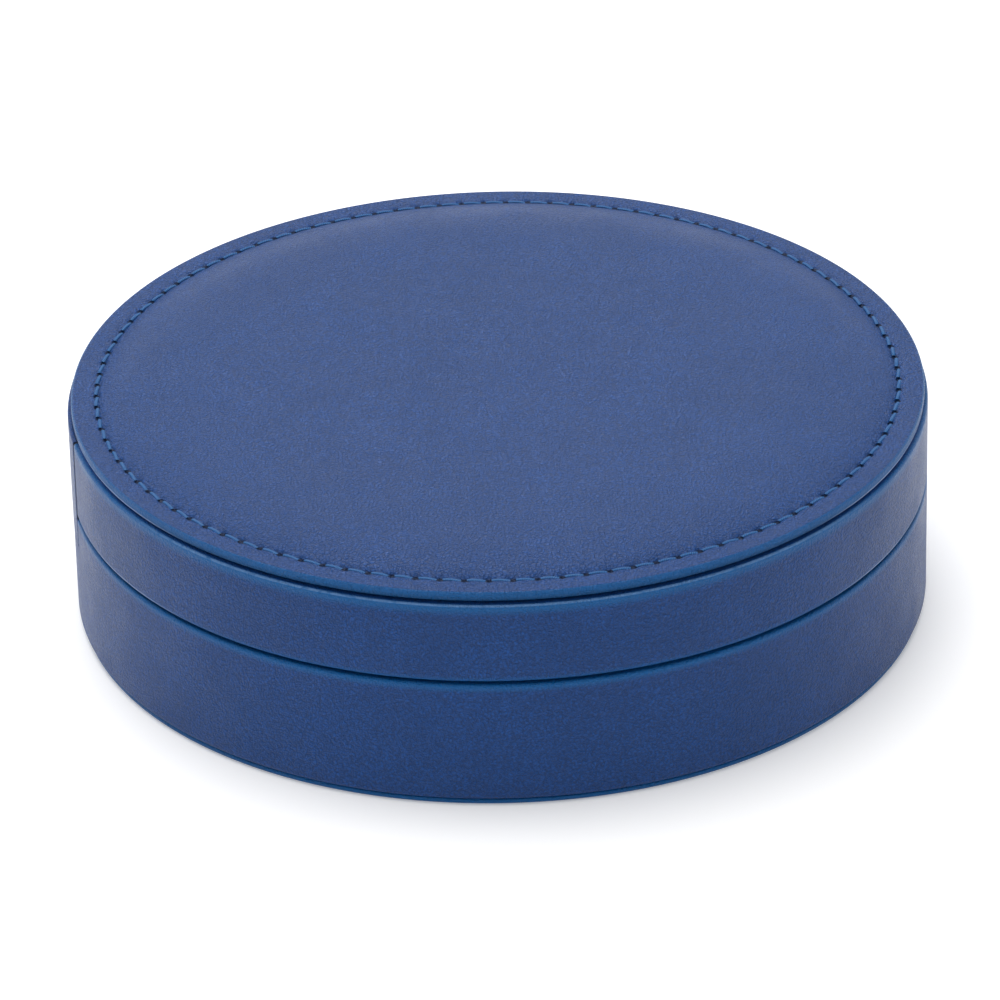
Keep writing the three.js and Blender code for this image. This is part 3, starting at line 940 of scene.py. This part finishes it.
class CASE_OT_stitches(bpy.types.Operator):
    """Sews the line of stitches round the lid"""
    bl_idname = "case.stitches"
    bl_label = "Lid stitching"

    SLANT = math.radians(6)
    DIVE = math.radians(30)  # how steeply each end goes into its hole
    FLATTENED = 0.42  # height of a stitch that is pulled tight, against a loose one
    STANDS_OUT = 0.4  # share of the thread's thickness that shows above the crease

    def execute(self, context):
        count = sizes().stitch_count
        stitch = self.one_stitch(FULL_TURN * STITCH_CIRCLE / count * sizes().stitch_span)
        high = max(vertex.co.z for vertex in stitch.data.vertices)
        crease = panel_margin() - sizes().stitch_crease
        lift = crease + sizes().thread * self.STANDS_OUT - high
        stitch.data.transform(Matrix.Translation((STITCH_CIRCLE, 0, lift)))
        copies = [stitch]
        for index in range(1, count):
            copy = stitch.copy()
            copy.data = stitch.data.copy()
            copy.data.transform(Matrix.Rotation(FULL_TURN * index / count, 4, "Z"))
            bpy.context.scene.collection.objects.link(copy)
            copies.append(copy)
        clear_selection()
        for copy in copies:
            copy.select_set(True)
        bpy.context.view_layer.objects.active = stitch
        bpy.ops.object.join()
        stitch.data.transform(Matrix.Rotation(FULL_TURN / count / 2, 4, "Z"))
        place(stitch, "lid", ["lid_stitch_thread"], "stitch_thread", thread_shader())
        return {"FINISHED"}

    def one_stitch(self, span):
        """One arched, flattened stitch that runs along Y over the origin."""
        clear_selection()
        bpy.ops.mesh.primitive_circle_add(vertices=8, radius=sizes().thread / 2, fill_type="NGON")
        stitch = bpy.context.object
        stitch.name = "lid_stitches"
        edit(stitch)
        bpy.ops.mesh.select_all(action="SELECT")
        bpy.ops.transform.rotate(value=math.pi / 2, orient_axis="X", center_override=(0, 0, 0))
        bpy.ops.transform.translate(value=(0, 0, span / 2 / math.sin(self.DIVE)))
        bpy.ops.transform.rotate(value=self.DIVE, orient_axis="X", center_override=(0, 0, 0))
        bpy.ops.mesh.spin(steps=8, angle=2 * self.DIVE, center=(0, 0, 0), axis=(-1, 0, 0))
        bpy.ops.mesh.select_all(action="SELECT")
        bpy.ops.mesh.fill_holes(sides=0)
        bpy.ops.transform.resize(value=(1, 1, self.FLATTENED), center_override=(0, 0, 0))
        bpy.ops.transform.rotate(value=self.SLANT, orient_axis="Z", center_override=(0, 0, 0))
        close_up(60)
        return stitch


# ---- Lining of the base -----------------------------------------------------------------------

class CASE_OT_base_lining(bpy.types.Operator):
    """Covers the neck and the floor of the base in velvet"""
    bl_idname = "case.base_lining"
    bl_label = "Neck and floor lining"

    BOARD = 1.7 * MM  # the neck's board, with room round it
    VELVET = 0.65 * MM
    OUTER_LEG = 7.8 * MM  # how far the velvet reaches down outside the board, from the base's rim

    def execute(self, context):
        velvet = velvet_shader()
        place(self.neck(), "base", ["neck_velvet"], "lining_velvet", velvet)
        place(self.floor(), "base", ["floor_velvet"], "lining_velvet", velvet)
        return {"FINISHED"}

    def neck(self):
        """Velvet folded over the neck's board, from outside the rim down to the floor."""
        roll = sizes().velvet_roll
        outer, top, stand = outer_radius("neck_velvet"), top_of("neck_velvet"), bottom_of("neck_velvet")
        board_outer, board_top = outer_radius("neck_board") + 0.1 * MM, top_of("neck_board") + 0.1 * MM
        board_inner = board_outer - self.BOARD
        inner = board_inner - self.VELVET
        leg_end = BASE_RIM - self.OUTER_LEG
        outline = [(board_outer, leg_end), (outer, leg_end)]
        outline += arc(outer - roll, top - roll, roll, 0, 90, 8)
        outline += arc(inner + roll, top - roll, roll, 90, 180, 8)
        outline += [(inner, height) for height in reversed(levels(stand, top - roll, 4 * MM)[:-1])]
        outline += [(board_inner, stand), (board_inner, board_top), (board_outer, board_top)]
        return turned("neck_lining", closed(outline))

    def floor(self):
        """A velvet disc with a softened upper edge."""
        radius, low, high = outer_radius("floor_velvet"), bottom_of("floor_velvet"), top_of("floor_velvet")
        return turned("floor_lining", [
            (0, low), (radius * 0.6, low), (radius, low),
            *arc(radius - 0.4 * MM, high - 0.2 * MM, 0.2 * MM, 0, 90, 3),
            (radius * 0.8, high), (radius * 0.4, high), (0, high),
        ], around=192)


class CASE_OT_dividers(bpy.types.Operator):
    """Makes the velvet-covered dividers, rounded along the top"""
    bl_idname = "case.dividers"
    bl_label = "Dividers"

    NODES = ("divider_left", "divider_right", "divider_front",
             "divider_cross_left", "divider_cross_right")
    ROLL = 1.1 * MM

    def execute(self, context):
        velvet = velvet_shader()
        for node in self.NODES:
            divider = rounded_block(node + "_velvet", *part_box(node), self.ROLL, 6)
            place(divider, "base", [node], "lining_velvet", velvet)
        return {"FINISHED"}


class CASE_OT_ring_rolls(bpy.types.Operator):
    """Makes the padded ring rolls"""
    bl_idname = "case.ring_rolls"
    bl_label = "Ring rolls"

    COUNT = 6
    ROUNDNESS = 0.46  # rounding of the top, against the roll's width

    def execute(self, context):
        velvet = velvet_shader()
        for index in range(1, self.COUNT + 1):
            node = f"ring_roll_{index}"
            roll = self.padded_roll(node + "_velvet", *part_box(node))
            place(roll, "base", [node], "lining_velvet", velvet)
        return {"FINISHED"}

    def padded_roll(self, name, low, high):
        """A D-shaped roll, softened all over by its filling."""
        roll = rounded_block(name, low, high, (high.y - low.y) * self.ROUNDNESS, 8)
        apply_modifier(roll, "REMESH", mode="VOXEL", voxel_size=0.9 * MM)
        apply_modifier(roll, "SMOOTH", factor=0.5, iterations=8)
        apply_modifier(roll, "SUBSURF", levels=1, render_levels=1)
        bpy.ops.object.shade_smooth()
        return roll


# ---- Inside of the lid ------------------------------------------------------------------------

class CASE_OT_lid_lining(bpy.types.Operator):
    """Lines the lid's wall and ceiling in velvet"""
    bl_idname = "case.lid_lining"
    bl_label = "Lid lining"

    VELVET = 0.6 * MM
    EASE = 0.2 * MM  # chamfer or rounding of the edges

    def execute(self, context):
        velvet = velvet_shader()
        place(self.wall(), "lid", ["lid_wall_lining"], "lining_velvet", velvet)
        place(self.ceiling(), "lid", ["lid_ceiling_velvet"], "lining_velvet", velvet)
        return {"FINISHED"}

    def wall(self):
        """A band of velvet round the inside of the lid."""
        inner, ease = LINING_OUTER - self.VELVET, self.EASE
        low, high = bottom_of("lid_wall_lining"), top_of("lid_wall_lining")
        return turned("lid_wall_velvet", closed([
            (inner, low + ease), (inner + ease, low), (LINING_OUTER, low), (LINING_OUTER, high),
            (inner, high),
        ]))

    def ceiling(self):
        """A velvet disc under the lid's top board."""
        radius, ease = outer_radius("lid_ceiling_velvet"), self.EASE
        low, high = bottom_of("lid_ceiling_velvet"), top_of("lid_ceiling_velvet")
        return turned("lid_ceiling_lining", [
            (0, low), (radius / 2, low), *arc(radius - ease, low + ease, ease, -90, 0, 3),
            (radius, high), (radius / 2, high), (0, high),
        ], around=192)


class CASE_OT_mirror(bpy.types.Operator):
    """Sets the mirror and its velvet-covered frame in the lid"""
    bl_idname = "case.mirror"
    bl_label = "Mirror and frame"

    GRIND = 0.3 * MM  # bevel ground round the glass
    OVERLAP = 2 * MM  # how far the frame's lip reaches in over the glass
    LIP = 0.75 * MM

    def execute(self, context):
        place(self.glass_disc(), "lid", ["mirror_glass"], "mirror", mirror_shader())
        place(self.velvet_frame(), "lid", ["mirror_frame"], "lining_velvet", velvet_shader())
        return {"FINISHED"}

    def glass_disc(self):
        """A glass disc with ground edges."""
        radius, grind = outer_radius("mirror_glass"), self.GRIND
        low, high = bottom_of("mirror_glass"), top_of("mirror_glass")
        return turned("lid_mirror", [
            (0, low), (radius / 2, low), (radius - grind, low), (radius, low + grind),
            (radius, high - grind), (radius - grind, high), (radius / 2, high), (0, high),
        ], smooth_degrees=20)

    def velvet_frame(self):
        """A rounded ring that holds the glass by its lip."""
        glass, outer = outer_radius("mirror_glass"), outer_radius("mirror_frame")
        seat, lip_edge = glass + 0.3 * MM, glass - self.OVERLAP
        bottom, top = bottom_of("mirror_frame"), top_of("mirror_frame")
        inner_roll, outer_roll = 0.37 * MM, MM
        return turned("lid_mirror_frame", closed([
            *arc(lip_edge + inner_roll, bottom + inner_roll, inner_roll, 180, 270, 5),
            *arc(outer - outer_roll, bottom + outer_roll, outer_roll, -90, 0, 6),
            (outer, top), (seat, top), (seat, bottom + self.LIP), (lip_edge, bottom + self.LIP),
        ]))


class CASE_OT_hidden_pieces(bpy.types.Operator):
    """Gives the boards, the foam and the magnets inside their own materials"""
    bl_idname = "case.hidden_pieces"
    bl_label = "Boards, foam and magnets"

    def execute(self, context):
        finishes = {
            board_shader(): ("base_board", "base_wall_core", "neck_board", "lid_wall_core",
                             "lid_top_board", "lid_panel_backing"),
            foam_shader(): ("floor_foam", "lid_panel_foam"),
            magnet_shader(): ("base_magnet_left", "base_magnet_right",
                              "lid_magnet_left", "lid_magnet_right"),
        }
        for material, nodes in finishes.items():
            for node in nodes:
                piece = frame["nodes"][node]
                if not piece.material_slots:
                    piece.data.materials.append(material)
                for slot in piece.material_slots:
                    slot.material = material
        return {"FINISHED"}


# ---- Panel and registration -------------------------------------------------------------------

OPERATORS = (
    CASE_OT_stage, CASE_OT_base_wall, CASE_OT_base_foot, CASE_OT_lid_wall, CASE_OT_hinge_strip,
    CASE_OT_padded_lid, CASE_OT_stitches, CASE_OT_base_lining, CASE_OT_dividers, CASE_OT_ring_rolls,
    CASE_OT_lid_lining, CASE_OT_mirror, CASE_OT_hidden_pieces,
)


class CASE_PT_panel(bpy.types.Panel):
    """Lists the steps and the settings of the jewellery case"""
    bl_idname = "CASE_PT_panel"
    bl_label = "Jewellery case"
    bl_space_type = "VIEW_3D"
    bl_region_type = "UI"
    bl_category = "Case"

    def draw(self, context):
        for operator in OPERATORS:
            self.layout.operator(operator.bl_idname)
        for group in (context.scene.case_sizes, context.scene.case_colours):
            box = self.layout.box()
            for name in group.__annotations__:
                box.prop(group, name)


CLASSES = (CaseSizes, CaseColours, *OPERATORS, CASE_PT_panel)


def register():
    for item in CLASSES:
        bpy.utils.register_class(item)
    bpy.types.Scene.case_sizes = bpy.props.PointerProperty(type=CaseSizes)
    bpy.types.Scene.case_colours = bpy.props.PointerProperty(type=CaseColours)


def unregister():
    del bpy.types.Scene.case_colours
    del bpy.types.Scene.case_sizes
    for item in reversed(CLASSES):
        bpy.utils.unregister_class(item)


def main():
    register()
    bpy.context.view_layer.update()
    for operator in OPERATORS:
        group, name = operator.bl_idname.split(".")
        getattr(getattr(bpy.ops, group), name)()


if __name__ == "__main__":
    main()
